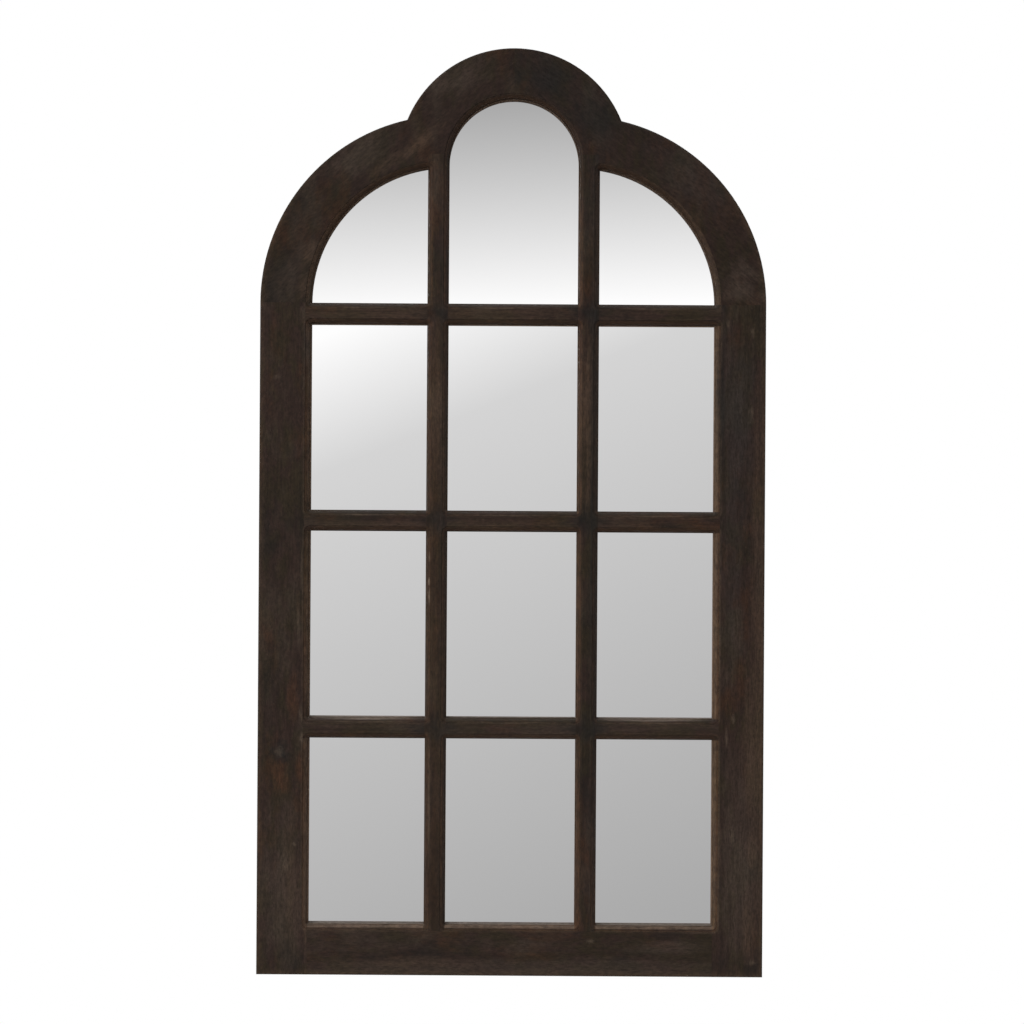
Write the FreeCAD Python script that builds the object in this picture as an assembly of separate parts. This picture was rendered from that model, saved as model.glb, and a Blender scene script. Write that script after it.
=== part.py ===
"""Arched wall mirror: a stained wooden window frame with a three-lobed head, glazing bars and mirror plates.

X runs to the right as seen from the front, Z up, and Y from the face towards the wall.
Everything is laid out on the bench with the bottom edge at z = 0 and the wall plane at y = 0,
and is moved down at the end so that the origin lies midway between the two hanger holes.
"""
import FreeCAD, Part
import math
import os

# Frame, seen from the front
overall_width = 600.0
overall_height = 1100.0
frame_width = 60.0
rail_width = 60.0
centre_light_width = 154.0
bar_width = 25.0
head_rise = 303.0
crossbar_names = ("lower_crossbar", "middle_crossbar", "top_crossbar")
haunch_radius = 163.0
upright_rise = 11.0

# Depth from the face to the wall
frame_depth = 28.0
mirror_thickness = 4.0
board_thickness = 5.0
back_recess = 4.0

# Edges: the routed moulding round each light and the eased outer arris
moulding_width = 6.5
quirk_depth = 1.0
quirk_ledge = 0.6
fillet_width = 1.0
bearing_radius = 1.5
router_reach = 1.0
arris_radius = 2.0

# Beds for the mirror plates and the back board, measured out from the sight edge
mirror_lap = 8.0
board_lap = 12.0
mirror_clearance = 1.5
board_clearance = 0.8
plate_gap = 1.0

# Joints
tenon_length = 8.0
tenon_width = 15.0
tenon_thickness = 5.0
tenon_cover = 1.5
dowel_diameter = 8.0
dowel_length = 40.0
dowel_chamfer = 1.0
dowel_spacing = 18.0
dowel_edge_distance = 13.0
joint_clearance = 0.1
end_clearance = 1.0

# Countersunk screws
screw_diameter = 3.5
screw_length = 16.0
screw_tip = 3.0
head_diameter = 7.0
head_rim = 0.3
head_height = 2.2
recess_span = 3.6
recess_width = 0.9
recess_depth = 1.4
haunch_screw_angle = 25.0
crown_screw_angle = 75.0

# Keyhole hangers let into the stiles
hanger_drop = 97.0
hanger_inset = 20.0
hanger_width = 16.0
hanger_thickness = 1.6
keyhole_diameter = 9.5
keyhole_slot = 5.0
keyhole_travel = 10.0
hanger_screw_offset = 8.0
hanger_end = 7.5
pocket_depth = 10.0
pocket_clearance = 1.75
seat_clearance = 0.2

# Places that follow from the sizes above
front = -frame_depth
board_back = -back_recess
board_seat = board_back - board_thickness
bar_back = board_seat - mirror_thickness
bar_depth = bar_back - front
half_width = overall_width / 2
sight_edge = half_width - frame_width
centre_edge = centre_light_width / 2
bar_edge = centre_edge + bar_width
springing = overall_height - head_rise
row_pitch = (springing - rail_width) / len(crossbar_names)
light_height = row_pitch - bar_width
light_bases = [rail_width + row * row_pitch for row in range(len(crossbar_names))]
crossbar_bases = [base + light_height for base in light_bases]
crown_z = overall_height - frame_width - centre_edge
shoulder_z = crown_z + upright_rise
haunch_x = sight_edge - haunch_radius
upright_x = (centre_edge + bar_edge) / 2
bar_end = sight_edge + moulding_width
upright_foot = rail_width - moulding_width
lap_plane = front + bar_depth / 2
moulding_depth = moulding_width - quirk_ledge - fillet_width + quirk_depth
tenon_back = bar_back - tenon_cover
tenon_front = tenon_back - tenon_thickness
frame_middle = front / 2
board_screw_inset = mirror_lap + board_lap / 2
hanger_height = springing - hanger_drop


def at(x, z, y=0.0):
    return FreeCAD.Vector(x, y, z)


crown_centre = at(0, crown_z)
haunch_centre = at(haunch_x, springing)
to_wall = FreeCAD.Vector(0, 1, 0)


def on_circle(centre, radius, degrees):
    angle = math.radians(degrees)
    return centre + at(radius * math.cos(angle), radius * math.sin(angle))


def arc_to(centre, radius, start, end):
    """Middle and end point of an arc, as an outline takes it."""
    return on_circle(centre, radius, (start + end) / 2), on_circle(centre, radius, end)


def outline(start, *moves):
    """Closed wire: a single point is reached by a straight run, a pair of points by an arc."""
    edges = []
    here = start
    for move in moves:
        if isinstance(move, tuple):
            through, end = move
            edges.append(Part.Arc(here, through, end).toShape())
        else:
            end = move
            edges.append(Part.makeLine(here, end))
        here = end
    return Part.Wire(edges)


def slab(wire, y_front, y_back):
    """Board of the wire's outline between two depths."""
    face = Part.Face(wire)
    face.translate(to_wall * y_front)
    return face.extrude(to_wall * (y_back - y_front))


def block(x_range, y_range, z_range):
    low = FreeCAD.Vector(x_range[0], y_range[0], z_range[0])
    high = FreeCAD.Vector(x_range[1], y_range[1], z_range[1])
    size = high - low
    return Part.makeBox(size.x, size.y, size.z, low)


def rectangle(x_range, z_range):
    left, right = x_range
    bottom, top = z_range
    start = at(left, bottom)
    return outline(start, at(right, bottom), at(right, top), at(left, top), start)


def mirrored(shape):
    return shape.mirror(FreeCAD.Vector(0, 0, 0), FreeCAD.Vector(1, 0, 0))


def both_sides(shapes):
    return shapes + [mirrored(shape) for shape in shapes]


def carve(blank, tools):
    """Cut a blank with those of the tools that reach it."""
    return blank.cut([tool for tool in tools if tool.BoundBox.intersect(blank.BoundBox)])


def ease_front(board, is_outer):
    """Round over the front edges that the test picks, as sanding eases an outer arris."""
    picked = []
    for edge in board.Edges:
        middle = edge.valueAt((edge.FirstParameter + edge.LastParameter) / 2)
        on_face = all(abs(vertex.Point.y - front) < joint_clearance for vertex in edge.Vertexes)
        if on_face and is_outer(middle):
            picked.append(edge)
    return board.makeFillet(arris_radius, picked)


# Angles at which the arcs of the head start and end
def circle_meeting(first, first_radius, second, second_radius):
    """Right-hand point where two circles of the head cross."""
    span = second - first
    along = (first_radius ** 2 - second_radius ** 2 + span.Length ** 2) / (2 * span.Length)
    aside = math.sqrt(first_radius ** 2 - along ** 2)
    unit = FreeCAD.Vector(span).normalize()
    return first + unit * along + to_wall.cross(unit) * aside


def bearing(centre, point):
    offset = point - centre
    return math.degrees(math.atan2(offset.z, offset.x))


crown_outer = centre_edge + frame_width
haunch_outer = haunch_radius + frame_width
cusp = circle_meeting(haunch_centre, haunch_outer, crown_centre, crown_outer)
cusp_from_crown = bearing(crown_centre, cusp)
cusp_from_haunch = bearing(haunch_centre, cusp)
shoulder_angle = math.degrees(math.asin(upright_rise / centre_edge))
corner_angle = math.degrees(math.acos((bar_edge - haunch_x) / haunch_radius))
head_span = crown_centre - haunch_centre
tangent_angle = bearing(haunch_centre, crown_centre) - math.degrees(
    math.acos((haunch_radius - centre_edge) / head_span.Length))


# Lights: the openings of the frame, at the sight edge
def head_outline(margin):
    """Outline round all the lights, grown by a margin: the arcs of the head joined by straight tangents."""
    side = sight_edge + margin
    base = rail_width - margin
    haunch = haunch_radius + margin
    crown = centre_edge + margin
    left_haunch = at(-haunch_x, springing)
    tangent_left = 180.0 - tangent_angle
    start = at(-side, base)
    return outline(
        start,
        at(side, base),
        at(side, springing),
        arc_to(haunch_centre, haunch, 0.0, tangent_angle),
        on_circle(crown_centre, crown, tangent_angle),
        arc_to(crown_centre, crown, tangent_angle, tangent_left),
        on_circle(left_haunch, haunch, tangent_left),
        arc_to(left_haunch, haunch, tangent_left, 180.0),
        start,
    )


def centre_head_light():
    start = at(-centre_edge, springing)
    return outline(
        start,
        at(centre_edge, springing),
        at(centre_edge, crown_z),
        arc_to(crown_centre, centre_edge, 0.0, 180.0),
        start,
    )


def side_head_light():
    start = at(bar_edge, springing)
    return outline(
        start,
        at(sight_edge, springing),
        arc_to(haunch_centre, haunch_radius, 0.0, corner_angle),
        start,
    )


def lights():
    rows = [(base, base + light_height) for base in light_bases]
    side_column = [rectangle((bar_edge, sight_edge), row) for row in rows]
    centre_column = [rectangle((-centre_edge, centre_edge), row) for row in rows]
    return both_sides(side_column + [side_head_light()]) + centre_column + [centre_head_light()]


# Mouldings: a router bit run round each light on its bearing, after the frame is glued up
def bit_section(corner, outward):
    """Face swept by the bit: quirk at the face, ovolo below it, then a small fillet at the sight edge."""
    ovolo_radius = moulding_width - quirk_ledge - fillet_width
    ovolo_s = moulding_width - quirk_ledge
    diagonal = ovolo_radius * math.sqrt(0.5)

    def place(s, d):
        return corner + outward * s + to_wall * d

    ovolo_middle = place(ovolo_s - diagonal, moulding_depth - diagonal)
    start = place(-router_reach, -router_reach)
    return Part.Face(outline(
        start,
        place(moulding_width, -router_reach),
        place(moulding_width, quirk_depth),
        place(ovolo_s, quirk_depth),
        (ovolo_middle, place(fillet_width, moulding_depth)),
        place(-router_reach, moulding_depth),
        start,
    ))


def router_passes(light):
    """One pass of the bit along each run and round each corner of a light."""
    plug = slab(light, front, bar_back)
    corners = [edge for edge in plug.Edges if is_sharp_corner(plug, edge)]
    track = plug.makeFillet(bearing_radius, corners)
    face = [side for side in track.Faces if abs(side.CenterOfMass.y - front) < joint_clearance][0]
    centre = face.CenterOfMass
    passes = []
    for edge in face.OuterWire.Edges:
        begin = edge.FirstParameter
        end = edge.LastParameter
        corner = edge.valueAt(begin)
        outward = edge.tangentAt(begin).cross(to_wall)
        if outward.dot(corner - centre) < 0:
            outward = outward * -1
        section = bit_section(corner, outward)
        if isinstance(edge.Curve, Part.Circle):
            circle = edge.Curve
            passes.append(section.revolve(circle.Center, circle.Axis, math.degrees(end - begin)))
        else:
            passes.append(section.extrude(edge.valueAt(end) - corner))
    return passes


def is_sharp_corner(plug, edge):
    """True for an edge along the depth where two walls of the plug meet at an angle."""
    smooth_angle = math.radians(5)
    first = edge.Vertexes[0].Point
    last = edge.Vertexes[-1].Point
    if abs((last - first).y) < bar_depth / 2:
        return False
    walls = [face for face in plug.Faces if any(edge.isSame(other) for other in face.Edges)]
    normals = [wall.normalAt(*wall.Surface.parameter(first)) for wall in walls]
    return normals[0].cross(normals[1]).Length > math.sin(smooth_angle)


mouldings = [each for light in lights() for each in router_passes(light)]
beds = [
    slab(head_outline(mirror_lap), bar_back, arris_radius),
    slab(head_outline(mirror_lap + board_lap), board_seat, arris_radius),
]


# Screws and their seats, head flush with the face they are driven into
def screw_form(growth):
    """Countersunk screw turned about its axis, point first towards the face of the mirror."""
    head = head_diameter / 2 + growth
    shank = screw_diameter / 2 + growth
    start = FreeCAD.Vector(0, 0, 0)
    profile = outline(
        start,
        FreeCAD.Vector(head, 0, 0),
        FreeCAD.Vector(head, -head_rim - growth, 0),
        FreeCAD.Vector(shank, -head_height - growth, 0),
        FreeCAD.Vector(shank, -screw_length + screw_tip - growth, 0),
        FreeCAD.Vector(0, -screw_length - growth, 0),
        start,
    )
    return Part.Face(profile).revolve(start, to_wall, 360)


def screw(place):
    """Screw with a cross recess in its head."""
    long_side = (-recess_span / 2, recess_span / 2)
    short_side = (-recess_width / 2, recess_width / 2)
    depth = (-recess_depth, recess_depth)
    wings = [block(long_side, depth, short_side), block(short_side, depth, long_side)]
    return screw_form(0.0).cut(wings).translated(place)


def screw_hole(place):
    return screw_form(joint_clearance).translated(place)


def board_screw_places():
    """Round the board's edge, at the middle of each light and in each half of the head."""
    inset = board_screw_inset
    middles = [base + light_height / 2 for base in light_bases]
    side_light_x = (bar_edge + sight_edge) / 2
    on_haunch = on_circle(haunch_centre, haunch_radius + inset, tangent_angle)
    on_crown = on_circle(crown_centre, centre_edge + inset, tangent_angle)
    places = [at(sight_edge + inset, middle) for middle in middles]
    places.append(at(side_light_x, rail_width - inset))
    places.append(on_circle(haunch_centre, haunch_radius + inset, haunch_screw_angle))
    places.append((on_haunch + on_crown) * 0.5)
    places.append(on_circle(crown_centre, centre_edge + inset, crown_screw_angle))
    left_places = [at(-place.x, place.z) for place in places]
    return [place + to_wall * board_back for place in places + left_places + [at(0, rail_width - inset)]]


board_screws = [screw(place) for place in board_screw_places()]
board_screw_holes = [screw_hole(place) for place in board_screw_places()]


# Dowels that pin the butt joints of the frame
def dowel(middle, axis):
    base = middle - axis * (dowel_length / 2)
    peg = Part.makeCylinder(dowel_diameter / 2, dowel_length, base, axis)
    rims = [edge for edge in peg.Edges if edge.Closed]
    return peg.makeChamfer(dowel_chamfer, rims)


def dowel_hole(middle, axis):
    length = dowel_length + 2 * end_clearance
    return Part.makeCylinder(dowel_diameter / 2 + joint_clearance, length, middle - axis * (length / 2), axis)


along_x = FreeCAD.Vector(1, 0, 0)
along_z = FreeCAD.Vector(0, 0, 1)
outer_dowel = dowel_edge_distance
inner_dowel = dowel_edge_distance + dowel_spacing
rail_dowel_places = [at(sight_edge, z, frame_middle) for z in (outer_dowel, inner_dowel)]
stile_dowel_places = [at(half_width - inset, springing, frame_middle) for inset in (outer_dowel, inner_dowel)]
crown_dowel_places = [at(0, overall_height - inset, frame_middle) for inset in (outer_dowel, inner_dowel)]
rail_dowels = both_sides([dowel(place, along_x) for place in rail_dowel_places])
stile_dowels = both_sides([dowel(place, along_z) for place in stile_dowel_places])
crown_dowels = [dowel(place, along_x) for place in crown_dowel_places]
rail_dowel_holes = both_sides([dowel_hole(place, along_x) for place in rail_dowel_places])
stile_dowel_holes = both_sides([dowel_hole(place, along_z) for place in stile_dowel_places])
crown_dowel_holes = [dowel_hole(place, along_x) for place in crown_dowel_places]


# Ends of the glazing bars: let into the frame as far as the moulding's quirk, with a stub tenon beyond
def tenon(x_range, z_range, growth):
    """Tenon, or its mortise when grown by the glue gap on every side."""
    return block(
        (x_range[0] - growth, x_range[1] + growth),
        (tenon_front - growth, tenon_back + growth),
        (z_range[0] - growth, z_range[1] + growth),
    )


def crossbar_tenon(base, growth=0.0):
    middle = base + bar_width / 2
    z_range = (middle - tenon_width / 2, middle + tenon_width / 2)
    return tenon((bar_end, bar_end + tenon_length), z_range, growth)


def upright_tenons(growth=0.0):
    x_range = (upright_x - tenon_width / 2, upright_x + tenon_width / 2)
    foot = tenon(x_range, (upright_foot - tenon_length, upright_foot), growth)
    head = tenon(x_range, (shoulder_z, shoulder_z + tenon_length), growth)
    return [foot, head]


def crossbar_housing(base):
    """Notch for the full end of a crossbar, and the mortise behind it."""
    notch = block((sight_edge, bar_end), (front, bar_back), (base, base + bar_width))
    return [notch, crossbar_tenon(base, joint_clearance)]


foot_mortise, head_mortise = upright_tenons(joint_clearance)
foot_notch = block((centre_edge, bar_edge), (front, bar_back), (upright_foot, rail_width))


# Keyhole hanger plates, flush in the back of the stiles
def stadium(bottom, top, radius):
    """Upright slot with round ends whose centres lie at the two heights."""
    start = at(radius, bottom)
    return outline(
        start,
        at(radius, top),
        arc_to(at(0, top), radius, 0.0, 180.0),
        at(-radius, bottom),
        arc_to(at(0, bottom), radius, 180.0, 360.0),
    )


hanger_place = at(half_width - hanger_inset, hanger_height)
keyhole_radius = keyhole_diameter / 2
lower_screw_z = -keyhole_radius - hanger_screw_offset
upper_screw_z = keyhole_travel + keyhole_slot / 2 + hanger_screw_offset
hanger_radius = hanger_width / 2
hanger_bottom = lower_screw_z - hanger_end + hanger_radius
hanger_top = upper_screw_z + hanger_end - hanger_radius
hanger_screw_places = [hanger_place + at(0, z) for z in (lower_screw_z, upper_screw_z)]
hanger_screws = both_sides([screw(place) for place in hanger_screw_places])
hanger_screw_holes = [screw_hole(place) for place in hanger_screw_places]


def hanger():
    """Plate with round ends; the keyhole's round entry lies below the slot that a wall screw slides into."""
    plate = slab(stadium(hanger_bottom, hanger_top, hanger_radius), -hanger_thickness, 0.0)
    entry = Part.makeCylinder(keyhole_radius, 3 * hanger_thickness, at(0, 0, -2 * hanger_thickness), to_wall)
    slot = slab(stadium(0.0, keyhole_travel, keyhole_slot / 2), -2 * hanger_thickness, hanger_thickness)
    return plate.cut([entry, slot]).translated(hanger_place).cut(hanger_screw_holes)


def hanger_recess():
    """Shallow seat for the plate, and a deeper pocket behind the keyhole for the wall screw's head."""
    seat_radius = hanger_radius + seat_clearance
    seat = slab(stadium(hanger_bottom, hanger_top, seat_radius), -hanger_thickness, arris_radius)
    pocket_outline = stadium(0.0, keyhole_travel, keyhole_radius + pocket_clearance)
    pocket = slab(pocket_outline, -hanger_thickness - pocket_depth, arris_radius)
    return [seat.translated(hanger_place), pocket.translated(hanger_place)]


# Frame boards
def right_stile():
    blank = block((sight_edge, half_width), (front, 0.0), (0.0, springing))
    eased = ease_front(blank, lambda p: p.x > half_width - joint_clearance or p.z < joint_clearance)
    housings = [cut for base in crossbar_bases for cut in crossbar_housing(base)]
    cuts = mouldings + beds + housings + rail_dowel_holes + stile_dowel_holes
    return carve(eased, cuts + board_screw_holes + hanger_recess() + hanger_screw_holes)


def bottom_rail():
    blank = block((-sight_edge, sight_edge), (front, 0.0), (0.0, rail_width))
    eased = ease_front(blank, lambda p: p.z < joint_clearance)
    housings = both_sides([foot_notch, foot_mortise])
    return carve(eased, mouldings + beds + housings + rail_dowel_holes + board_screw_holes)


def right_arch():
    """Half of the head: haunch, cusp and half the crown, cut from one wide board."""
    start = at(half_width, springing)
    blank = slab(outline(
        start,
        arc_to(haunch_centre, haunch_outer, 0.0, cusp_from_haunch),
        arc_to(crown_centre, crown_outer, cusp_from_crown, 90.0),
        on_circle(crown_centre, centre_edge, 90.0),
        arc_to(crown_centre, centre_edge, 90.0, shoulder_angle),
        at(bar_edge, shoulder_z),
        on_circle(haunch_centre, haunch_radius, corner_angle),
        arc_to(haunch_centre, haunch_radius, corner_angle, 0.0),
        start,
    ), front, 0.0)

    def on_outer_arc(point):
        face_point = at(point.x, point.z)
        from_crown = (face_point - crown_centre).Length
        from_haunch = (face_point - haunch_centre).Length
        return min(abs(from_crown - crown_outer), abs(from_haunch - haunch_outer)) < joint_clearance

    eased = ease_front(blank, on_outer_arc)
    cuts = mouldings + beds + [head_mortise] + stile_dowel_holes + crown_dowel_holes
    return carve(eased, cuts + board_screw_holes)


# Glazing bars, halved over each other where they cross
def right_upright():
    """Bar that runs through at the face: only its back half is notched for the crossbars."""
    start = at(centre_edge, upright_foot)
    bar = slab(outline(
        start,
        at(bar_edge, upright_foot),
        at(bar_edge, shoulder_z),
        on_circle(crown_centre, centre_edge, shoulder_angle),
        arc_to(crown_centre, centre_edge, shoulder_angle, 0.0),
        start,
    ), front, bar_back)
    across = (centre_edge, bar_edge)
    notches = [block(across, (lap_plane, bar_back), (base, base + bar_width)) for base in crossbar_bases]
    return carve(bar, mouldings + notches).fuse(upright_tenons())


def crossbar(base):
    """Bar that passes behind the uprights: its front half is notched for them."""
    bar = block((-bar_end, bar_end), (front, bar_back), (base, base + bar_width))
    notch = block((centre_edge, bar_edge), (front, lap_plane), (base, base + bar_width))
    return carve(bar, mouldings + both_sides([notch])).fuse(both_sides([crossbar_tenon(base)]))


# Mirror plates, meeting behind the top crossbar, and the board that holds them
def plates():
    margin = mirror_lap - mirror_clearance
    whole = slab(head_outline(margin), bar_back, board_seat)
    meeting = springing - bar_width / 2
    reach = (-overall_width, overall_width)
    depth = (bar_back - mirror_thickness, board_seat + mirror_thickness)
    above = block(reach, depth, (meeting - plate_gap / 2, 2 * overall_height))
    below = block(reach, depth, (-overall_height, meeting + plate_gap / 2))
    return whole.cut(above), whole.cut(below)


def back_board():
    margin = mirror_lap + board_lap - board_clearance
    board = slab(head_outline(margin), board_seat, board_back)
    return board.cut(board_screw_holes)


stile = right_stile()
arch = right_arch()
upright = right_upright()
lower_plate, upper_plate = plates()
hanger_plate = hanger()

nodes = {
    "left_stile": [mirrored(stile)],
    "right_stile": [stile],
    "bottom_rail": [bottom_rail()],
    "left_arch": [mirrored(arch)],
    "right_arch": [arch],
    "left_upright": [mirrored(upright)],
    "right_upright": [upright],
    "rail_dowels": rail_dowels,
    "stile_dowels": stile_dowels,
    "crown_dowels": crown_dowels,
    "lower_mirror": [lower_plate],
    "upper_mirror": [upper_plate],
    "back_board": [back_board()],
    "board_screws": board_screws,
    "left_hanger": [mirrored(hanger_plate)],
    "right_hanger": [hanger_plate],
    "hanger_screws": hanger_screws,
}

for name, base in zip(crossbar_names, crossbar_bases):
    nodes[name] = [crossbar(base)]

os.makedirs("parts", exist_ok=True)
for node, shapes in nodes.items():
    solids = [solid for shape in shapes for solid in shape.removeSplitter().Solids]
    placed = Part.makeCompound(solids).translated(at(0, -hanger_height))
    placed.exportStep("parts/" + node + ".step")
    volumes = [round(solid.Volume / 1000, 1) for solid in solids]
    print(node, len(solids), "solid(s), cm3:", volumes, "valid:", placed.isValid())
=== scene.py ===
import math
from collections import namedtuple
import bpy
import numpy as np
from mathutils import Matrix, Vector


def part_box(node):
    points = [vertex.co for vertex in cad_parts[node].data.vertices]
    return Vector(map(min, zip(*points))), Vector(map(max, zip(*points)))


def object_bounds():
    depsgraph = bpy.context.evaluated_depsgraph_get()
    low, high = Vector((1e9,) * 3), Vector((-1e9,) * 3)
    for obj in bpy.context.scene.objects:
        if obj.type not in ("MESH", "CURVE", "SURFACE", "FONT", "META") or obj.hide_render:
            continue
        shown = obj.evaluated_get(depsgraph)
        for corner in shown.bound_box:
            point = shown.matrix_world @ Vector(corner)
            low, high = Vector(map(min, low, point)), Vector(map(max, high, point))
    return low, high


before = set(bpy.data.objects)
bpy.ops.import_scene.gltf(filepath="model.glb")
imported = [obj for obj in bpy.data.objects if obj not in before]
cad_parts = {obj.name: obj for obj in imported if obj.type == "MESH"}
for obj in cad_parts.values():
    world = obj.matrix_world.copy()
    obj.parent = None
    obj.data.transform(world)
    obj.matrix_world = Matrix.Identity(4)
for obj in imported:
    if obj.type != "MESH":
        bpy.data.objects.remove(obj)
cad_box = [list(corner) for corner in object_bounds()]


# Stiles: the two upright boards of the frame, planed hardwood, dowelled to the rail and the arch halves.
# A dark chocolate stain is brushed on, wiped and rubbed back by hand before the lacquer, so the moulding
# that is routed along the sight edge shows warm wood. The left stile has a small knot.
class Coats:
    """A node tree and the few moves that build a finish up in it, coat by coat."""

    # The Mix node's two inputs and its output for each kind of value.
    mix_sockets = {"FLOAT": (2, 3, 0), "VECTOR": (4, 5, 1), "RGBA": (6, 7, 2)}

    def __init__(self, tree):
        self.nodes = tree.nodes
        self.links = tree.links

    def add(self, kind, inputs=None, **settings):
        """New node with its settings, each named input set to a value or linked to another output."""
        node = self.nodes.new("ShaderNode" + kind)
        for name, value in settings.items():
            setattr(node, name, value)
        for key, value in (inputs or {}).items():
            self.feed(node.inputs[key], value)
        return node

    def feed(self, socket, value):
        """Link a socket to another node's output, or set it to a plain value."""
        if isinstance(value, bpy.types.NodeSocket):
            self.links.new(value, socket)
        else:
            socket.default_value = value

    def calc(self, operation, first, second=0.0, third=0.0):
        """One step of arithmetic on up to three values."""
        return self.add("Math", {0: first, 1: second, 2: third}, operation=operation).outputs[0]

    def line(self, value, slope, start):
        """Straight line: the value times the slope, plus the start."""
        return self.calc("MULTIPLY_ADD", value, slope, start)

    def fold(self, operation, values):
        """One value from several, such as their product or the largest of them."""
        result = values[0]
        for value in values[1:]:
            result = self.calc(operation, result, value)
        return result

    def product(self, *factors):
        """All the factors multiplied together."""
        return self.fold("MULTIPLY", factors)

    def difference(self, first, second):
        """The first less the second."""
        return self.calc("SUBTRACT", first, second)

    def ramp(self, value, low, high, bottom=0.0, top=1.0):
        """Smooth step from bottom to top as the value goes from low to high."""
        inputs = {"Value": value, "From Min": low, "From Max": high, "To Min": bottom, "To Max": top}
        return self.add("MapRange", inputs, interpolation_type="SMOOTHSTEP").outputs[0]

    def band(self, value, start, full, falling, end):
        """One between full and falling, nothing before start and after end."""
        return self.product(self.ramp(value, start, full), self.ramp(value, end, falling))

    def mix(self, kind, factor, first, second, mode="MIX"):
        """From the first value to the second as the factor goes from nothing to one."""
        first_input, second_input, result = self.mix_sockets[kind]
        inputs = {0: factor, first_input: first, second_input: second}
        return self.add("Mix", inputs, data_type=kind, blend_type=mode).outputs[result]

    def blend(self, factor, first, second, mode="MIX"):
        """The second colour laid over the first, as thick as the factor."""
        return self.mix("RGBA", factor, first, second, mode)

    def split(self, vector):
        """X, Y and Z of a vector."""
        return self.add("SeparateXYZ", {0: vector}).outputs[:]

    def length(self, x, z):
        """Longest side of the right triangle with these two sides."""
        pair = self.add("CombineXYZ", {0: x, 2: z}).outputs[0]
        return self.add("VectorMath", {0: pair}, operation="LENGTH").outputs["Value"]


class Finish(Coats):
    """Coats of one material, read from the piece's own coordinates."""

    def __init__(self, name):
        self.material = bpy.data.materials.new(name)
        self.material.use_nodes = True
        super().__init__(self.material.node_tree)
        self.shader = self.nodes["Principled BSDF"]
        self.coords = self.add("TexCoord").outputs["Object"]
        self.normal = self.add("NewGeometry").outputs["Normal"]

    def turned(self, coords, shift=(0, 0, 0), turn=(0, 0, 0), stretch=(1, 1, 1)):
        """Coordinates scaled, then turned, then shifted."""
        inputs = {"Vector": coords, "Location": shift, "Rotation": turn, "Scale": stretch}
        return self.add("Mapping", inputs).outputs[0]

    def drawn_out(self, coords, scale):
        """Coordinates scaled along Z alone, where a pattern on them is longer by one over the scale."""
        return self.turned(coords, stretch=(1.0, 1.0, scale))

    def noise(self, coords, size, detail=3.0, roughness=0.55):
        """Noise whose patches are about as wide as the size given, in metres."""
        inputs = {"Vector": coords, "Scale": 1.0 / size, "Detail": detail, "Roughness": roughness}
        return self.add("TexNoise", inputs).outputs[0]

    def spread(self, noise, bottom=0.0, top=1.0):
        """Smooth step from bottom to top over the range in which most of a noise's values lie."""
        return self.ramp(noise, 0.3, 0.7, bottom, top)

    def set(self, **sockets):
        """Set or link the shader's sockets, named in lower case with underscores."""
        for name, value in sockets.items():
            words = [word.upper() if word == "ior" else word.capitalize() for word in name.split("_")]
            self.feed(self.shader.inputs[" ".join(words)], value)


def srgb(red, green, blue):
    """Linear colour of an eight-bit display colour: each channel by the display's power curve."""
    channels = [value / 255 for value in (red, green, blue)]
    return tuple(c / 12.92 if c <= 0.04045 else ((c + 0.055) / 1.055) ** 2.4 for c in channels) + (1.0,)


half_width = cad_box[1][0]
top_edge = cad_box[1][2]
face, bottom_edge = cad_box[0][1:]
sight_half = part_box("right_stile")[0].x
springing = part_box("right_stile")[1].z
rail_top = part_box("bottom_rail")[1].z
board_width = rail_top - bottom_edge
upright_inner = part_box("right_upright")[0].x
upright_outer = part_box("right_upright")[1].x
crossbars = ("lower_crossbar", "middle_crossbar", "top_crossbar")
crossbar_spans = [(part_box(bar)[0].z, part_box(bar)[1].z) for bar in crossbars]
haunch_radius = 0.223
haunch_x = half_width - haunch_radius
crown_radius = upright_inner + board_width
crown_z = top_edge - crown_radius


def from_outline(wood):
    """Distance in from the outer edge, whose outline is a box, two haunch discs and the crown's disc."""
    x, _, z = wood.split(wood.coords)
    aside = wood.calc("ABSOLUTE", x)
    above_springing = wood.difference(z, springing)
    haunch_reach = wood.length(wood.difference(aside, haunch_x), above_springing)
    crown_reach = wood.length(aside, wood.difference(z, crown_z))
    out_of_box = wood.fold("MAXIMUM", [
        wood.difference(aside, half_width),
        wood.difference(bottom_edge, z),
        above_springing,
    ])
    outside = wood.fold("MINIMUM", [
        out_of_box,
        wood.difference(haunch_reach, haunch_radius),
        wood.difference(crown_reach, crown_radius),
    ])
    return wood.product(outside, -1.0)


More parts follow.
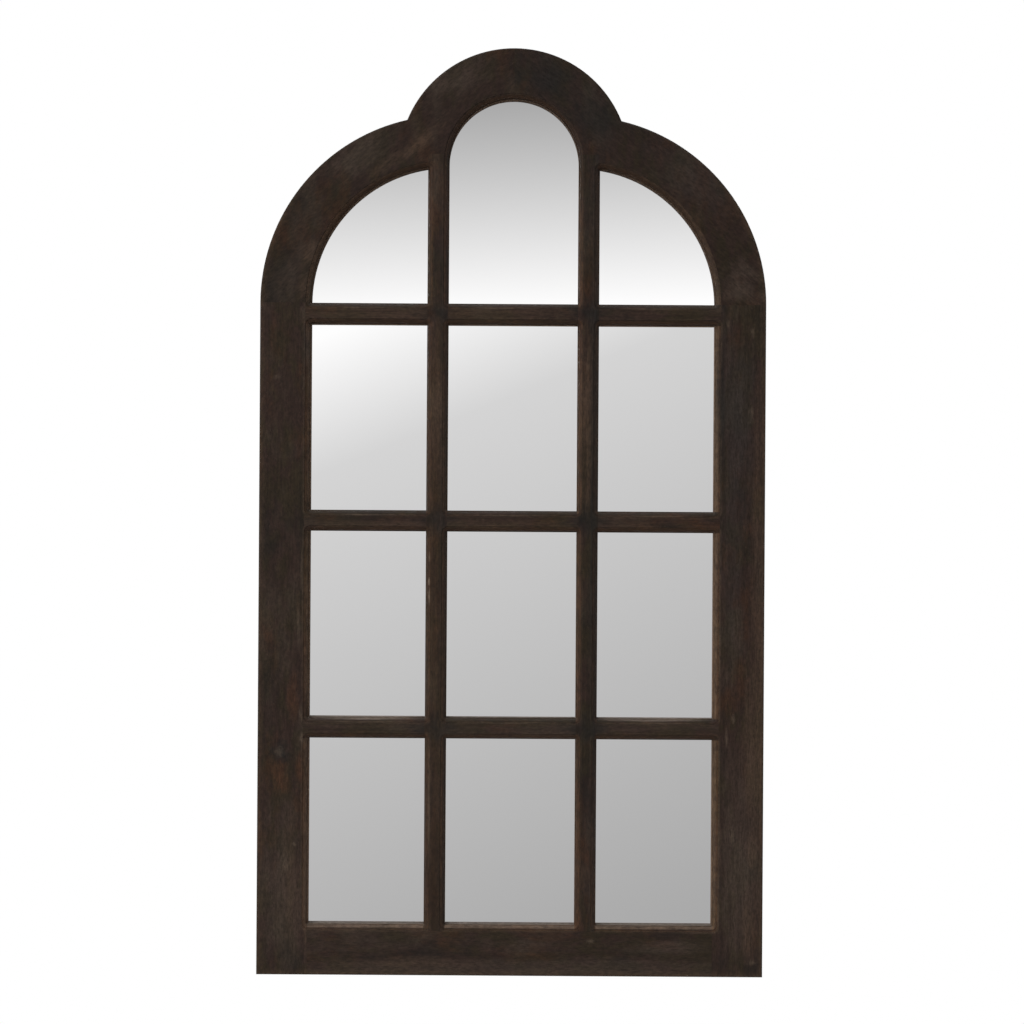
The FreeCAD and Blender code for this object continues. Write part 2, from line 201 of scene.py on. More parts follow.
def from_light(wood):
    """Distance from the sight edge of the nearest light, seen from the front.

    Below the head the lights are a grid: the way across to a column and the way up or down to a row are
    the sides of a right triangle. In the head they are a round-topped slot in the middle and a quarter disc
    on each side.
    """
    x, _, z = wood.split(wood.coords)
    aside = wood.calc("ABSOLUTE", x)
    below_springing = wood.difference(springing, z)

    def within(value, low, high):
        """How far inside a bar a value lies: half the bar's width less the way to its middle."""
        middle = (low + high) / 2
        return wood.difference((high - low) / 2, wood.calc("ABSOLUTE", wood.difference(value, middle)))

    across = [within(aside, upright_inner, upright_outer), wood.difference(aside, sight_half)]
    along = [within(z, low, high) for low, high in crossbar_spans]
    along += [wood.difference(rail_top, z), wood.difference(z, crossbar_spans[-1][0])]
    grid = wood.length(wood.fold("MAXIMUM", across + [0.0]), wood.fold("MAXIMUM", along + [0.0]))
    slot_reach = wood.length(aside, wood.calc("MAXIMUM", wood.difference(z, crown_z), 0.0))
    slot = wood.calc("MAXIMUM", wood.difference(slot_reach, upright_inner), below_springing)
    haunch_reach = wood.length(wood.difference(aside, haunch_x), wood.difference(z, springing))
    quarter = wood.fold("MAXIMUM", [
        wood.difference(haunch_reach, haunch_radius - board_width),
        wood.difference(upright_outer, aside),
        below_springing,
    ])
    return wood.fold("MINIMUM", [grid, slot, quarter])


class StainedWood(Finish):
    """Hardwood stained nearly black by hand, its coats in the order that a finisher works.

    The grain's coordinates are the piece's own, turned about the depth axis so that the board's length is
    their Z. Brushed is the turn of the stain's clouds, which follow the brush, and tone makes the whole stain
    lighter or darker. Sight is the distance out from the nearest light.
    """

    # Depths below the face where the moulding gives way to the light's wall, and heights out of reach.
    moulding_foot = (0.0075, 0.0065)
    wall_head = (0.0055, 0.0075)
    out_of_reach = (0.30, 0.19)
    # Parts of the moulding, from the sight edge out: where each fades, or starts, is full, falls and ends.
    light_wall = (0.0015, 0.0005)
    ovolo = (0.0046, 0.0030)
    bead = (0.0036, 0.0046, 0.0060, 0.0066)
    quirk = (0.0046, 0.0054, 0.0062, 0.0068)
    arris = (0.0058, 0.0065, 0.0074, 0.0092)
    moulding = (0.0066, 0.0058)

    def __init__(self, name, grain_turn, shift, tone, brushed):
        super().__init__(name)
        self.tone = tone
        self.grain_turn = grain_turn
        _, depth, height = self.split(self.coords)
        _, self.facing_back, self.facing_up = self.split(self.normal)
        self.below_face = self.difference(depth, face)
        self.at_front = self.ramp(self.below_face, *self.moulding_foot)
        self.sight = from_light(self)
        self.in_light = self.ramp(self.sight, *self.light_wall)
        self.fibre = self.turned(self.coords, shift, (0.0, grain_turn, 0.0))
        brush = self.turned(self.coords, shift, (0.0, brushed, 0.0))
        self.blotches = self.drawn_out(brush, 0.45)
        self.flecked = self.drawn_out(self.fibre, 0.5)
        self.streak = self.noise(self.drawn_out(self.fibre, 0.07), 0.0035, detail=4.0, roughness=0.6)
        self.speckle = self.noise(self.flecked, 0.003, detail=4.0, roughness=0.75)
        dashes = self.noise(self.drawn_out(self.fibre, 0.09), 0.0007, detail=2.0, roughness=0.5)
        self.pores = self.ramp(dashes, 0.54, 0.64)
        rubs = self.noise(self.turned(self.coords, (2.0, 7.0, 1.0)), 0.012, detail=5.0, roughness=0.7)
        patchy = self.ramp(rubs, 0.34, 0.62, bottom=0.4)
        in_reach = self.ramp(height, *self.out_of_reach, bottom=0.1)
        self.wear = self.product(patchy, self.at_front, in_reach)

    def stain(self, red, green, blue):
        """Linear colour of a stain, times the board's tone."""
        return tuple(channel * self.tone for channel in srgb(red, green, blue)[:3]) + (1.0,)

    def coat(self, colour, *factors):
        """Lay a colour over what is there, as thick as the product of the factors."""
        self.colour = self.blend(self.product(*factors), self.colour, colour)

    def texture(self, noise, dark, light):
        """Darken or lighten what is there by a noise."""
        self.colour = self.blend(1.0, self.colour, self.spread(noise, dark, light), "MULTIPLY")

    def clouds(self):
        """Stain wiped on unevenly: noise patches of plum, olive, red, soot and haze, one over another."""
        def patch(place, size, low=0.5, high=0.7):
            """One where the noise at a place is over high, nothing where it is under low."""
            return self.ramp(self.noise(self.turned(self.blotches, place), size, 5.0, 0.65), low, high)

        plum = self.stain(42, 30, 25)
        olive = self.stain(39, 31, 21)
        red = self.stain(52, 33, 21)
        soot = self.stain(26, 22, 19)
        haze = self.stain(55, 46, 38)
        self.colour = plum
        self.coat(olive, patch((0.0, 0.0, 0.0), 0.024, 0.42, 0.6))
        self.coat(red, patch((3.1, 1.7, 0.4), 0.035), 0.75)
        self.coat(soot, patch((6.2, 4.4, 1.9), 0.045), 0.7)
        self.coat(haze, patch((8.3, 2.6, 7.7), 0.05), 0.5)

    def dab(self, place, size, tint, strength):
        """Dab of another colour: an ellipse along the grain at a place on the face.

        The way from its middle, in ellipses, plus twice a noise breaks up the rim: full at 1, gone at 2.2.
        """
        inputs = {
            "Vector": self.coords,
            "Location": (place[0], face, place[1]),
            "Rotation": (0.0, -self.grain_turn, 0.0),
            "Scale": (size[0], 1.0, size[1]),
        }
        local = self.add("Mapping", inputs, vector_type="TEXTURE").outputs[0]
        reach = self.add("VectorMath", {0: local}, operation="LENGTH").outputs["Value"]
        broken = self.noise(self.turned(local, place + (0.0,)), 0.7, detail=4.0, roughness=0.65)
        self.coat(tint, self.ramp(self.line(broken, 2.0, reach), 2.2, 1.0), strength)

    def rub_moulding_and_paint_light(self, rub, tints):
        """Rub the moulding back, the ovolo by the light, its bead and the face's arris, and paint light on
        the bead where it doesn't face up and in the quirk.
        """
        worn_stain_and_painted_light = srgb(84, 68, 55)
        painted_light_not_upward = self.ramp(self.facing_up, 0.3, -0.1, bottom=0.15)
        self.coat(tints.ovolo, self.ramp(self.sight, *self.ovolo), self.wear, rub.ovolo)
        # Partly rubbed wood, partly painted light: the bead's warm tint lies mostly where the moulding
        # doesn't face up, standing in for light on the lower edges.
        self.coat(tints.bead, self.band(self.sight, *self.bead), self.wear, painted_light_not_upward, rub.bead)
        self.coat(worn_stain_and_painted_light, self.band(self.sight, *self.arris), self.wear, rub.arris)
        # Painted light: the quirk is lightened where the overhead lamp's shadow falls in it.
        self.coat(worn_stain_and_painted_light, self.band(self.sight, *self.quirk), self.at_front, rub.quirk)

    def rub_outline(self):
        """The board's outer edge is rubbed a little too, over its last nine millimetres."""
        near_edge = self.ramp(from_outline(self), 0.009, 0.001)
        self.coat(srgb(68, 53, 40), near_edge, self.wear, 0.35)

    def paint_underside_shade(self):
        """Painted shade: mouldings that face down are given a dark warm brown, as in the shadow from the
        light above.
        """
        underside_shade_mask = self.ramp(self.facing_up, 0.0, -0.55)
        on_moulding = self.ramp(self.sight, *self.moulding)
        self.coat(srgb(45, 30, 19), on_moulding, self.at_front, underside_shade_mask, 0.9)

    def paint_wall_light(self, tint):
        """Painted light on the walls down in the lights: a pale tint where they don't face up, which light
        from above leaves dark.
        """
        deep = self.ramp(self.below_face, *self.wall_head)
        painted_light_not_upward = self.ramp(self.facing_up, 0.6, 0.2)
        self.coat(tint, self.in_light, deep, painted_light_not_upward, 0.8)

    def dust_and_painted_highlight(self):
        """Grey on the ledges that face up into a light: partly dust and polish, partly a painted highlight
        from the light above.
        """
        upward = self.ramp(self.facing_up, 0.5, 0.9)
        self.coat(srgb(132, 122, 114), upward, self.in_light, 0.4)

    def grain(self, streaky):
        """Grain shows through: long streaks, speckles, dark dashes of pores, and pale flecks in places."""
        self.texture(self.streak, 1.0 - 0.15 * streaky, 1.0 + 0.17 * streaky)
        self.texture(self.speckle, 0.76, 1.27)
        self.coat(self.stain(20, 15, 12), self.pores, 0.45)
        specks = self.noise(self.turned(self.flecked, (0.7, 2.3, 5.1)), 0.002, detail=3.0, roughness=0.7)
        places = self.noise(self.turned(self.coords, (5.0, 1.0, 2.0)), 0.05)
        flecks = self.product(self.ramp(specks, 0.58, 0.75), self.ramp(places, 0.46, 0.64, bottom=0.1))
        self.coat(self.stain(74, 63, 53), flecks, 0.5)

    def bare_back(self):
        """The back is left bare, streaked and pored, with stain run over its outer edge here and there."""
        self.backward = self.ramp(self.facing_back, 0.3, 0.7)
        hairlines = self.noise(self.drawn_out(self.fibre, 0.02), 0.0014, detail=3.0, roughness=0.6)
        wood = self.blend(self.ramp(self.streak, 0.25, 0.75), srgb(142, 106, 72), srgb(172, 136, 99))
        wood = self.blend(1.0, wood, self.spread(hairlines, 0.86, 1.1), "MULTIPLY")
        wood = self.blend(self.product(self.pores, 0.55), wood, srgb(96, 66, 42))
        runs = self.ramp(self.noise(self.coords, 0.06, detail=5.0, roughness=0.65), 0.5, 0.7, top=0.01)
        spilt = self.ramp(self.difference(from_outline(self), runs), 0.003, -0.002)
        wood = self.blend(self.product(spilt, 0.7), wood, srgb(66, 48, 36))
        self.coat(wood, self.backward)

    def lacquer(self):
        """Thin satin lacquer, dull down in the lights, over edges that router and sandpaper left soft."""
        rounded = self.add("Bevel", {"Radius": 0.0008}, samples=4).outputs[0]
        shaped = self.product(self.at_front, self.ramp(self.below_face, 0.0002, 0.0006))
        soft = self.mix("VECTOR", shaped, self.normal, rounded)
        height = self.line(self.streak, 0.5, self.speckle)
        relief = {"Strength": 0.3, "Distance": 0.0004, "Height": height, "Normal": soft}
        satin = self.spread(self.speckle, 0.48, 0.66)
        dull = self.product(self.calc("MAXIMUM", self.in_light, self.backward), 0.9)
        self.set(base_color=self.colour, normal=self.add("Bump", relief).outputs[0])
        self.set(roughness=self.calc("MAXIMUM", satin, dull), specular_ior_level=0.1)


# How far each part of the moulding is rubbed back, or lightened in the quirk with painted light, and the
# colours of its parts and of the wall below it. The wall's colour is painted light, and the bead's partly is.
Rub = namedtuple("Rub", "ovolo bead quirk arris")
Tints = namedtuple("Tints", "ovolo bead wall")
# Painted light: a pale tint for the lights' walls where they don't face up.
painted_wall_light = srgb(104, 84, 68)
honey_tints = Tints(ovolo=srgb(92, 72, 55), bead=srgb(86, 62, 43), wall=painted_wall_light)


def stained_wood(name, grain_turn, shift, tone, rub, dabs, streaky=1.0, tints=honey_tints, brushed=None):
    """Finish of one board, all coats in turn, brushed along the grain where nothing else is said."""
    wood = StainedWood(name, grain_turn, shift, tone, grain_turn if brushed is None else brushed)
    wood.clouds()
    wood.rub_moulding_and_paint_light(rub, tints)
    for dab in dabs:
        wood.dab(*dab)
    wood.rub_outline()
    wood.paint_underside_shade()
    wood.paint_wall_light(tints.wall)
    wood.dust_and_painted_highlight()
    wood.grain(streaky)
    wood.bare_back()
    wood.lacquer()
    return wood.material


def dress(node_name, material):
    """Give a piece its finish in every material slot."""
    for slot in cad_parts[node_name].material_slots:
        slot.material = material


upright_grain = 0.0
pale = srgb(80, 68, 57)
umber_stain = srgb(68, 53, 42)
hazy_stain = srgb(60, 50, 43)
ruddy_stain = srgb(60, 38, 25)
walnut_stain = srgb(52, 38, 25)
smoky_stain = srgb(45, 40, 38)
sooty_stain = srgb(25, 24, 23)
# A dab is its place on the face, half width across and half length along the grain, tint and strength.
left_dabs = [
    ((-0.272, -0.600), (0.030, 0.110), hazy_stain, 0.5),
    ((-0.259, -0.590), (0.012, 0.100), umber_stain, 0.3),
    ((-0.272, -0.464), (0.012, 0.024), ruddy_stain, 0.7),
    ((-0.250, -0.456), (0.006, 0.020), ruddy_stain, 0.7),
    ((-0.258, -0.372), (0.009, 0.030), ruddy_stain, 0.6),
]
knot = [
    ((-0.273, -0.436), (0.016, 0.015), sooty_stain, 0.75),
    ((-0.2740, -0.4360), (0.0075, 0.0070), pale, 0.42),
    ((-0.2690, -0.4400), (0.0036, 0.0042), sooty_stain, 0.75),
]
left_scuffs = [
    ((-0.2425, -0.550), (0.0050, 0.150), umber_stain, 0.55),
    ((-0.2440, 0.035), (0.0060, 0.050), smoky_stain, 0.55),
    ((-0.2460, 0.083), (0.0080, 0.012), pale, 0.35),
    ((-0.2470, -0.420), (0.0036, 0.007), pale, 0.5),
    ((-0.249, -0.220), (0.0018, 0.024), pale, 0.4),
    ((-0.252, -0.284), (0.0026, 0.030), pale, 0.35),
    ((-0.249, -0.390), (0.0026, 0.012), pale, 0.4),
    ((-0.279, 0.008), (0.0055, 0.004), pale, 0.35),
    ((-0.256, -0.545), (0.0030, 0.0030), pale, 0.45),
    ((-0.267, -0.567), (0.006, 0.012), pale, 0.35),
]
right_dabs = [
    ((0.265, -0.040), (0.030, 0.120), smoky_stain, 0.6),
    ((0.2475, -0.020), (0.0070, 0.150), sooty_stain, 0.65),
    ((0.2490, 0.092), (0.0060, 0.012), sooty_stain, 0.45),
    ((0.2550, 0.073), (0.0030, 0.008), pale, 0.35),
    ((0.262, -0.215), (0.020, 0.110), smoky_stain, 0.4),
    ((0.272, -0.560), (0.034, 0.130), hazy_stain, 0.55),
    ((0.293, -0.300), (0.010, 0.300), umber_stain, 0.45),
    ((0.285, -0.430), (0.012, 0.090), umber_stain, 0.5),
    ((0.284, -0.640), (0.012, 0.050), umber_stain, 0.45),
    ((0.287, -0.550), (0.008, 0.024), umber_stain, 0.5),
    ((0.272, -0.345), (0.010, 0.024), ruddy_stain, 0.5),
]
right_scuffs = [
    ((0.283, -0.032), (0.004, 0.012), pale, 0.35),
    ((0.284, 0.064), (0.003, 0.008), pale, 0.35),
    ((0.264, -0.394), (0.0028, 0.006), pale, 0.45),
    ((0.256, -0.416), (0.0024, 0.012), pale, 0.4),
    ((0.264, -0.535), (0.003, 0.014), pale, 0.4),
    ((0.288, -0.682), (0.006, 0.004), pale, 0.4),
]
left_rub = Rub(ovolo=0.42, bead=0.35, quirk=0.0, arris=0.18)
right_rub = Rub(ovolo=0.76, bead=0.65, quirk=0.0, arris=0.4)
stiles = (
    ("left_stile", (0.0, 0.0, 0.0), 0.97, left_rub, left_dabs + knot + left_scuffs),
    ("right_stile", (4.0, 1.0, 2.0), 1.0, right_rub, right_dabs + right_scuffs),
)
for stile, shift, tone, rub, dabs in stiles:
    dress(stile, stained_wood(stile + "_wood", upright_grain, shift, tone, rub, dabs))


# Bottom rail: a board of the same stuff dowelled in between the stiles, its grain running across.
# Its upper moulding lies open to the hand and is rubbed back far, and the lower edge is scuffed.
level_grain = math.radians(90)
rail_shift = (7.0, 3.0, 1.0)
rail_tone = 0.94
rail_streaks = 0.5
rail_dabs = [
    ((0.0, -0.692), (0.016, 0.400), hazy_stain, 0.45),
    ((-0.125, -0.685), (0.010, 0.100), umber_stain, 0.35),
    ((0.184, -0.665), (0.012, 0.060), hazy_stain, 0.45),
    ((0.096, -0.658), (0.003, 0.006), pale, 0.5),
]
rail_rub = Rub(ovolo=0.7, bead=0.6, quirk=0.0, arris=0.2)
rail_tints = Tints(ovolo=srgb(96, 79, 66), bead=srgb(88, 66, 50), wall=painted_wall_light)
rail_wood = stained_wood(
    "bottom_rail_wood", level_grain, rail_shift, rail_tone, rail_rub, rail_dabs, rail_streaks, rail_tints)
dress("bottom_rail", rail_wood)


# Arch halves: each is sawn from one wide board whose grain rises towards the crown, and they meet there in
# a dowelled butt. The stain is brushed on upright, across the grain and the joint. The arches are toned
# darker than the rest, nearly black to the right of the crown.
arch_slope = math.radians(52)
arch_shift = (11.0, 5.0, 3.0)
arch_tone = 0.85
arch_streaks = 0.5
arch_brushing = 0.0
arch_tints = Tints(ovolo=srgb(88, 71, 56), bead=srgb(80, 62, 48), wall=srgb(76, 59, 46))
crown_dark_patch = ((0.039, 0.364), (0.034, 0.045), sooty_stain, 0.7)
# The arches' quirks get a little painted light, against the overhead lamp's shadow in them.
left_arch_rub = Rub(ovolo=0.42, bead=0.35, quirk=0.12, arris=0.0)
left_arch_dabs = [
    ((-0.272, 0.130), (0.020, 0.050), hazy_stain, 0.3),
    ((-0.282, 0.106), (0.016, 0.020), hazy_stain, 0.18),
    ((-0.249, 0.115), (0.014, 0.022), umber_stain, 0.36),
    ((-0.244, 0.155), (0.014, 0.024), umber_stain, 0.5),
    ((-0.190, 0.270), (0.026, 0.060), hazy_stain, 0.6),
    ((-0.158, 0.257), (0.008, 0.036), umber_stain, 0.4),
    ((-0.089, 0.361), (0.018, 0.030), hazy_stain, 0.5),
    ((-0.060, 0.363), (0.020, 0.040), hazy_stain, 0.5),
    ((-0.120, 0.282), (0.010, 0.045), umber_stain, 0.5),
    ((-0.165, 0.232), (0.008, 0.034), umber_stain, 0.4),
    crown_dark_patch,
]
right_arch_rub = Rub(ovolo=0.58, bead=0.5, quirk=0.12, arris=0.0)
right_arch_dabs = [
    ((0.098, 0.315), (0.032, 0.050), sooty_stain, 0.62),
    ((0.225, 0.235), (0.030, 0.080), smoky_stain, 0.35),
    ((0.270, 0.114), (0.022, 0.030), hazy_stain, 0.7),
    ((0.276, 0.137), (0.014, 0.022), hazy_stain, 0.5),
    crown_dark_patch,
]
arches = (
    ("left_arch", -arch_slope, left_arch_rub, left_arch_dabs),
    ("right_arch", arch_slope, right_arch_rub, right_arch_dabs),
)
for arch, slope, rub, dabs in arches:
    arch_wood = stained_wood(
        arch + "_wood", slope, arch_shift, arch_tone, rub, dabs, arch_streaks, arch_tints, arch_brushing)
    dress(arch, arch_wood)


# Uprights: glazing bars of the same wood that run through from the rail to the head, tenoned at both ends
# and routed on both edges. Dirt has gathered where the crossbars meet them, and the left one is nicked and
# worn pale.
bar_tints = Tints(ovolo=srgb(86, 61, 43), bead=srgb(84, 58, 40), wall=painted_wall_light)
upright_middle = (upright_inner + upright_outer) / 2
crossbar_middles = [(low + high) / 2 for low, high in crossbar_spans]
nick = srgb(142, 122, 104)
foot_stain = srgb(38, 27, 18)
left_upright_dabs = [
    ((-upright_middle, -0.300), (0.014, 0.420), walnut_stain, 0.5),
    ((-upright_middle, -0.590), (0.014, 0.080), foot_stain, 0.7),
    ((-upright_middle - 0.0072, -0.495), (0.0016, 0.090), pale, 0.5),
    ((-0.0975, -0.204), (0.0012, 0.006), nick, 0.25),
    ((-0.0978, -0.233), (0.0016, 0.005), nick, 0.5),
    ((-0.0974, -0.251), (0.0013, 0.010), nick, 0.4),
    ((-upright_middle, -0.030), (0.012, 0.110), umber_stain, 0.55),
    ((-0.0925, 0.240), (0.005, 0.040), pale, 0.2),
]
right_upright_dabs = [
    ((upright_middle, -0.040), (0.012, 0.120), umber_stain, 0.65),
    ((upright_middle, -0.490), (0.012, 0.050), sooty_stain, 0.25),
    ((upright_middle, 0.205), (0.016, 0.100), sooty_stain, 0.35),
]
left_upright_rub = Rub(ovolo=0.26, bead=0.4, quirk=0.0, arris=0.15)
right_upright_rub = Rub(ovolo=0.45, bead=0.4, quirk=0.0, arris=0.12)
uprights = (
    ("left_upright", -upright_middle, (17.0, 2.0, 6.0), 1.02, left_upright_rub, left_upright_dabs, 0.45),
    ("right_upright", upright_middle, (19.0, 8.0, 4.0), 0.94, right_upright_rub, right_upright_dabs, 0.8),
)
for upright, middle, shift, tone, rub, worn, shade in uprights:
    # Painted shade: a dark stripe down the right edge of each upright, the side turned away from the left
    # lamp.
    painted_shade_edge = ((middle + 0.0095, -0.200), (0.0075, 0.700), sooty_stain, shade)
    crossings = [((middle, level), (0.012, 0.020), sooty_stain, 0.65) for level in crossbar_middles]
    dabs = worn + [painted_shade_edge] + crossings
    dress(upright, stained_wood(upright + "_wood", upright_grain, shift, tone, rub, dabs, tints=bar_tints))


# Crossbars: glazing bars of the same wood, halved behind the uprights, their ends let into the stiles and
# cut round by the router. Each has a pale line along its upper edge, partly wear and partly painted
# highlight, and dust lies on the ledges of the lowest.
crossbar_tints = Tints(ovolo=srgb(42, 36, 32), bead=srgb(74, 54, 40), wall=painted_wall_light)
cell_middles = (-0.170, 0.0, 0.170)
worn_and_painted_highlight_rise = 0.0071
worn_and_painted_highlight_line = (0.0012, 0.060)
ledge_rise = 0.0115
ledge_line = (0.0025, 0.060)
ledge_dust = srgb(120, 108, 98)
# Tone, rub, and a long wipe: place from the bar's middle, half width and half length, tint and strength.
crossbar_finishes = (
    (1.0, Rub(0.0, 0.1, 0.0, 0.1), ((0.05, 0.002), (0.008, 0.300), hazy_stain, 0.35)),
    (1.03, Rub(0.25, 0.25, 0.0, 0.1), ((-0.09, -0.003), (0.006, 0.300), umber_stain, 0.35)),
    (1.02, Rub(0.45, 0.15, 0.0, 0.1), ((-0.06, 0.0), (0.008, 0.300), umber_stain, 0.4)),
)
for row, (tone, rub, wipe) in enumerate(crossbar_finishes):
    bar = crossbars[row]
    level = crossbar_middles[row]
    (wipe_x, wipe_rise), *wiped = wipe
    dabs = [((wipe_x, level + wipe_rise), *wiped)]
    # Partly wear, partly painted highlight: a pale line along each bar's upper moulding.
    dabs += [((x, level + worn_and_painted_highlight_rise), worn_and_painted_highlight_line, pale, 0.5) for x in cell_middles]
    dabs += [((x, level), (0.012, 0.030), sooty_stain, 0.65) for x in (-upright_middle, upright_middle)]
    if bar == "lower_crossbar":
        dabs += [((x, level + ledge_rise), ledge_line, ledge_dust, 0.5) for x in cell_middles[::2]]
    shift = (23.0 + row, 4.0, 9.0)
    dress(bar, stained_wood(bar + "_wood", level_grain, shift, tone, rub, dabs, tints=crossbar_tints))


# Dowels: plain turned beech pegs in the butt joints of the frame.
# They are glued into bores in both boards, and are hidden once the frame is closed.
beech = Finish("beech_peg")
beech_grain = beech.noise(beech.drawn_out(beech.coords, 0.2), 0.002, detail=4.0)
beech_colour = beech.blend(beech.spread(beech_grain), srgb(176, 138, 100), srgb(206, 172, 134))
beech.set(base_color=beech_colour, roughness=0.6)
for joint in ("rail", "stile", "crown"):
    dress(joint + "_dowels", beech.material)


# Mirror plates: float glass silvered on its back, one plate for the head and one for the rest,
# laid in their bed from behind and meeting behind the top crossbar.
mirror = Finish("silvered_glass")
silver = (0.954, 0.951, 0.952, 1.0)
wiped_coords = mirror.turned(mirror.coords, turn=(0.0, 0.6, 0.0), stretch=(1.0, 1.0, 0.25))
smears = mirror.noise(wiped_coords, 0.03, detail=4.0)
mirror.set(base_color=silver, metallic=1.0, roughness=mirror.ramp(smears, 0.45, 0.8, 0.004, 0.02))
for plate in ("lower_mirror", "upper_mirror"):
    dress(plate, mirror.material)


# Back board: thin plywood cut to the outline of the bed, left unstained, screwed to the frame.
# Its face veneer is peeled off the log, so the growth rings spread out into long wavy flames.
ply = Finish("plywood")
veneer = srgb(186, 149, 108)
pale_veneer = srgb(196, 163, 124)
latewood_brown = srgb(150, 109, 72)
pore_brown = srgb(122, 86, 56)
ring_count = 19.0
swell = ply.noise(ply.drawn_out(ply.coords, 0.16), 0.15, detail=3.0, roughness=0.45)
latewood = ply.band(ply.calc("FRACT", ply.product(swell, ring_count)), 0.3, 0.93, 0.95, 1.0)
fibres = ply.noise(ply.drawn_out(ply.coords, 0.02), 0.0016, detail=4.0, roughness=0.65)
ply_pores = ply.noise(ply.drawn_out(ply.coords, 0.08), 0.0008, detail=2.0, roughness=0.5)
patch_coords = ply.turned(ply.coords, (4.0, 2.0, 1.0), stretch=(1.0, 1.0, 0.4))
patches = ply.noise(patch_coords, 0.09, detail=4.0, roughness=0.6)
ply_colour = ply.blend(ply.ramp(patches, 0.35, 0.65), veneer, pale_veneer)
ply_colour = ply.blend(ply.product(latewood, 0.45), ply_colour, latewood_brown)
ply_colour = ply.blend(1.0, ply_colour, ply.spread(fibres, 0.88, 1.08), "MULTIPLY")
ply_colour = ply.blend(ply.product(ply.ramp(ply_pores, 0.56, 0.66), 0.4), ply_colour, pore_brown)
ply_relief = {"Strength": 0.25, "Distance": 0.0002, "Height": ply.difference(fibres, ply_pores)}
ply.set(base_color=ply_colour, normal=ply.add("Bump", ply_relief).outputs[0])
ply.set(roughness=ply.spread(fibres, 0.6, 0.78), specular_ior_level=0.25)
dress("back_board", ply.material)


# Hangers and screws: keyhole plates stamped from sheet steel and let in flush with the stiles' backs, each
# held by two countersunk screws, and the screws round the back board. All are bright zinc plated.
zinc = Finish("zinc_steel")
spangle = zinc.noise(zinc.coords, 0.004, detail=3.0)
zinc_colour = zinc.blend(zinc.spread(spangle), srgb(176, 178, 178), srgb(206, 206, 200))
zinc.set(base_color=zinc_colour, metallic=1.0, roughness=zinc.spread(spangle, 0.28, 0.4))
for piece in ("board_screws", "left_hanger", "right_hanger", "hanger_screws"):
    dress(piece, zinc.material)


# Floor: a pale painted disc well below the hanging mirror, which fades out into the white studio.
# Its points are rings about the centre, each a radius times the cosine and sine of a bearing.
floor_level = -1.3
floor_radius = 2.4
ring_radii = np.linspace(0.02, floor_radius, 24)
bearings = np.linspace(0.0, 2 * math.pi, 72, endpoint=False)
radius_grid, bearing_grid = np.meshgrid(ring_radii, bearings, indexing="ij")
floor_points = np.stack([
    radius_grid * np.cos(bearing_grid),
    radius_grid * np.sin(bearing_grid),
    np.full_like(radius_grid, floor_level),
], axis=-1).reshape(-1, 3)
steps = len(bearings)
ring_index, step_index = np.meshgrid(np.arange(len(ring_radii) - 1), np.arange(steps), indexing="ij")
next_step = (step_index + 1) % steps
floor_faces = np.stack([
    ring_index * steps + step_index,
    (ring_index + 1) * steps + step_index,
    (ring_index + 1) * steps + next_step,
    ring_index * steps + next_step,
], axis=-1).reshape(-1, 4)
floor_mesh = bpy.data.meshes.new("floor")
floor_mesh.from_pydata(floor_points.tolist(), [], floor_faces.tolist())
floor = bpy.data.objects.new("floor", floor_mesh)
bpy.context.scene.collection.objects.link(floor)
paint = Finish("pale_floor")
floor_x, floor_y, _ = paint.split(paint.coords)
fading = paint.ramp(paint.length(floor_x, floor_y), 0.5 * floor_radius, floor_radius, 1.0, 0.0)
paint.set(base_color=(0.86, 0.86, 0.85, 1.0), roughness=0.8, alpha=fading)
floor_mesh.materials.append(paint.material)


# Studio: white behind the object. The mirror shows a lit wall that fades downwards and to the right, glows
# at its upper left and is lighter again far to the right. Above the wall's top edge is a ceiling, white at
# the edge and greyer further up.
studio = bpy.data.worlds.new("studio")
studio.use_nodes = True
bpy.context.scene.world = studio
sky = Coats(studio.node_tree)
sky.nodes.clear()
east, north, zenith = sky.split(sky.add("TexCoord").outputs["Generated"])
outward = sky.calc("MAXIMUM", sky.calc("ABSOLUTE", north), 0.05)
across = sky.calc("DIVIDE", east, outward)
up = sky.calc("DIVIDE", zenith, outward)
# Tones are display tones, and they change with the slopes across and up of the way out from the mirror.
wall_tone = 0.797
wall_rise = 0.686
fade_end = 0.3
fade_to_right = -0.294
far_start = 0.5
far_gain = 0.16
glow_edge = 0.048
glow_slant = -0.41
glow_gain = 2.3
wall_top = 0.08
ceiling_edge = 0.0888
ceiling_tone = 0.983
ceiling_fade = -4.04
ceiling_to_right = 0.165
darkest_tone = 0.45
lightest_tone = 1.0
display_power = 2.2
mirror_share = 0.96
wall = sky.line(up, wall_rise, wall_tone)
wall = sky.line(sky.calc("MINIMUM", across, fade_end), fade_to_right, wall)
wall = sky.line(sky.calc("MAXIMUM", sky.difference(across, far_start), 0.0), far_gain, wall)
glow = sky.line(across, glow_slant, sky.difference(up, glow_edge))
wall = sky.line(sky.calc("MAXIMUM", glow, 0.0), glow_gain, wall)
ceiling = sky.line(sky.difference(up, ceiling_edge), ceiling_fade, ceiling_tone)
ceiling = sky.line(across, ceiling_to_right, ceiling)
room_tone = sky.mix("FLOAT", sky.calc("GREATER_THAN", up, wall_top), wall, ceiling)
room_tone = sky.calc("MINIMUM", sky.calc("MAXIMUM", room_tone, darkest_tone), lightest_tone)
room_light = sky.calc("DIVIDE", sky.calc("POWER", room_tone, display_power), mirror_share)


def white_light(strength):
    """White from all around, of the strength given."""
    return sky.add("Background", {"Color": (1.0, 1.0, 1.0, 1.0), "Strength": strength}).outputs[0]


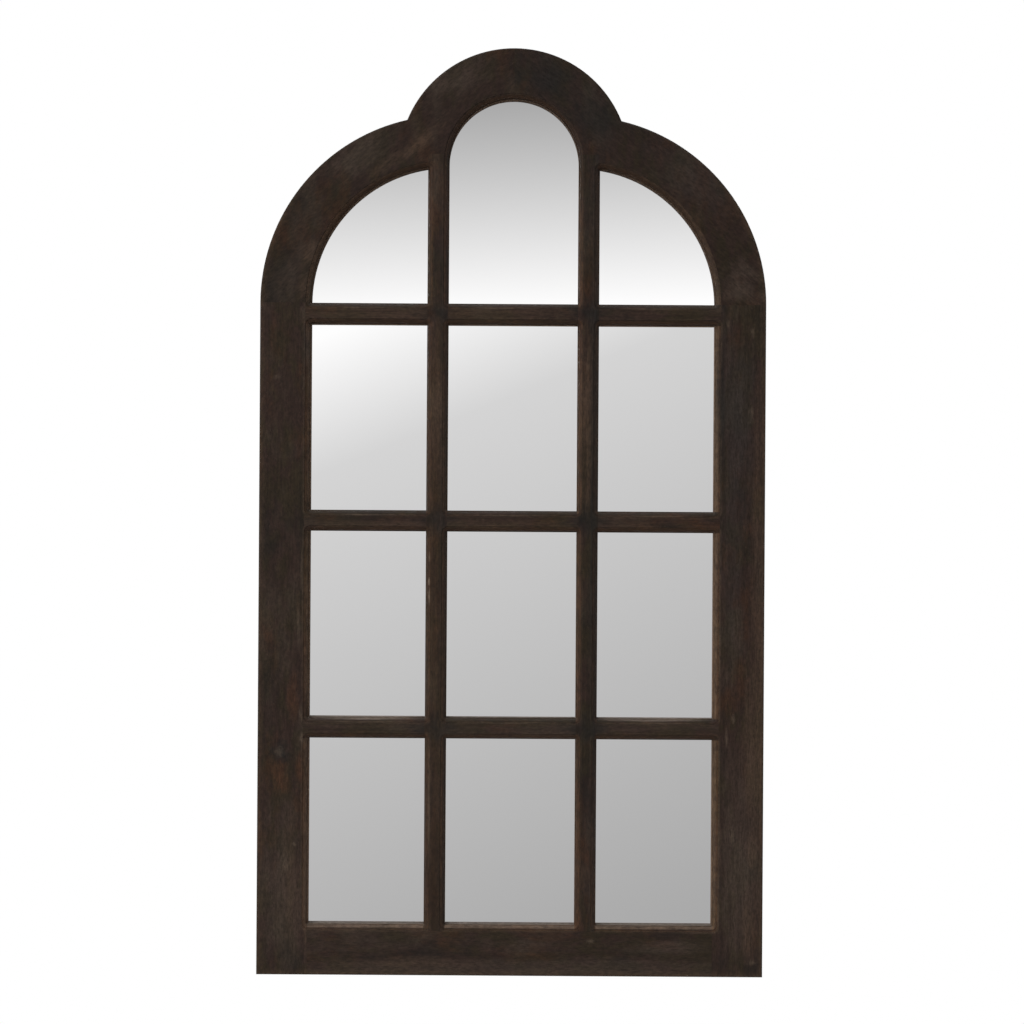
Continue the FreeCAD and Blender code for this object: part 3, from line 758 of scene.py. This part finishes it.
ambient_strength = 0.55
ray = sky.add("LightPath").outputs
seen = sky.calc("MAXIMUM", ray["Is Camera Ray"], ray["Is Transmission Ray"])
shading = {0: ray["Is Glossy Ray"], 1: white_light(ambient_strength), 2: white_light(room_light)}
lit = sky.add("MixShader", shading).outputs[0]
backdrop = sky.add("MixShader", {0: seen, 1: lit, 2: white_light(1.0)}).outputs[0]
sky.add("OutputWorld", {"Surface": backdrop})


# Lamps: a broad softbox overhead, which catches the mouldings' upper edges, and one at the upper left light
# the face. A weak one at the right lights that side, and one behind lights the back.
def softbox(name, place, width, height, power):
    """Rectangular lamp at a place, turned towards the middle of the mirror."""
    lamp = bpy.data.lights.new(name, "AREA")
    lamp.shape = "RECTANGLE"
    lamp.size = width
    lamp.size_y = height
    lamp.energy = power
    lamp_object = bpy.data.objects.new(name, lamp)
    lamp_object.location = place
    target = Vector((0.0, 0.0, (bottom_edge + top_edge) / 2))
    lamp_object.rotation_euler = (target - Vector(place)).to_track_quat("-Z", "Y").to_euler()
    bpy.context.scene.collection.objects.link(lamp_object)


softbox("overhead_lamp", (-0.8, -1.9, 6.0), width=3.0, height=1.6, power=240.0)
softbox("left_lamp", (-4.2, -4.2, 1.4), width=1.6, height=2.4, power=170.0)
softbox("right_lamp", (4.4, -0.3, 0.8), width=1.6, height=2.4, power=35.0)
softbox("back_lamp", (0.8, 3.6, 1.6), width=1.5, height=1.5, power=60.0)


# Camera: level with the middle of the mirror and square to it, turned a little on its axis as the photo is.
# It stands as far back as makes the view at the frame's face as wide as the photo.
photo_span = 1.2135
focal_length = 85.0
sensor_width = 36.0
photo_roll = math.radians(-0.36)
camera_data = bpy.data.cameras.new("camera")
camera_data.lens = focal_length
camera_data.sensor_width = sensor_width
camera = bpy.data.objects.new("camera", camera_data)
camera.location = (0.0, face - photo_span * focal_length / sensor_width, (bottom_edge + top_edge) / 2)
camera.rotation_euler = (math.radians(90), photo_roll, 0.0)
bpy.context.scene.collection.objects.link(camera)
bpy.context.scene.camera = camera
bpy.context.scene.view_settings.view_transform = "Standard"
